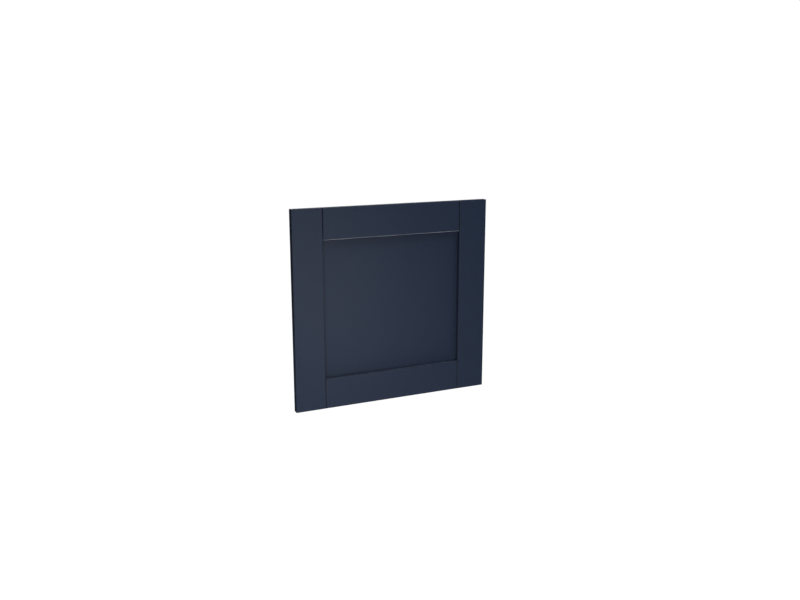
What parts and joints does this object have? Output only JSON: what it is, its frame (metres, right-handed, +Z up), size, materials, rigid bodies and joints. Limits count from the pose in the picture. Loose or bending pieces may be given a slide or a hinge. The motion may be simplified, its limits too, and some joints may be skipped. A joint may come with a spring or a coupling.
{
  "type": "shaker cabinet door",
  "caption": "Nearly square framed shaker cabinet door in satin navy, with a recessed flat centre panel and the back of one stile bored for concealed cup hinges.",
  "frame": {"origin": "middle of the door's bottom edge, halfway through its thickness", "axes": "+X across the door to the right as seen from the room, +Y from the room into the cabinet, +Z up; the front face looks along -Y"},
  "size_m": [0.597, 0.019, 0.57],
  "materials": {
    "navy_wrap": "satin navy wrapped board",
    "navy_panel": "satin navy wrapped board",
    "navy_tape": "satin navy edge tape",
    "spacer_rubber": "matt black rubber",
    "dowel_beech": "plain fluted hardwood"
  },
  "bodies": {
    "root": {"left_stile": "navy_wrap", "right_stile": "navy_wrap", "top_rail": "navy_wrap", "bottom_rail": "navy_wrap", "centre_panel": "navy_panel", "end_tape_bottom_left": "navy_tape", "end_tape_bottom_right": "navy_tape", "end_tape_top_left": "navy_tape", "end_tape_top_right": "navy_tape", "panel_spacer_left_1": "spacer_rubber", "panel_spacer_left_2": "spacer_rubber", "panel_spacer_right_1": "spacer_rubber", "panel_spacer_right_2": "spacer_rubber", "panel_spacer_top_1": "spacer_rubber", "panel_spacer_top_2": "spacer_rubber", "panel_spacer_bottom_1": "spacer_rubber", "panel_spacer_bottom_2": "spacer_rubber", "dowel_bottom_left_outer": "dowel_beech", "dowel_bottom_left_inner": "dowel_beech", "dowel_bottom_right_outer": "dowel_beech", "dowel_bottom_right_inner": "dowel_beech", "dowel_top_left_outer": "dowel_beech", "dowel_top_left_inner": "dowel_beech", "dowel_top_right_outer": "dowel_beech", "dowel_top_right_inner": "dowel_beech"}
  },
  "joints": []
}
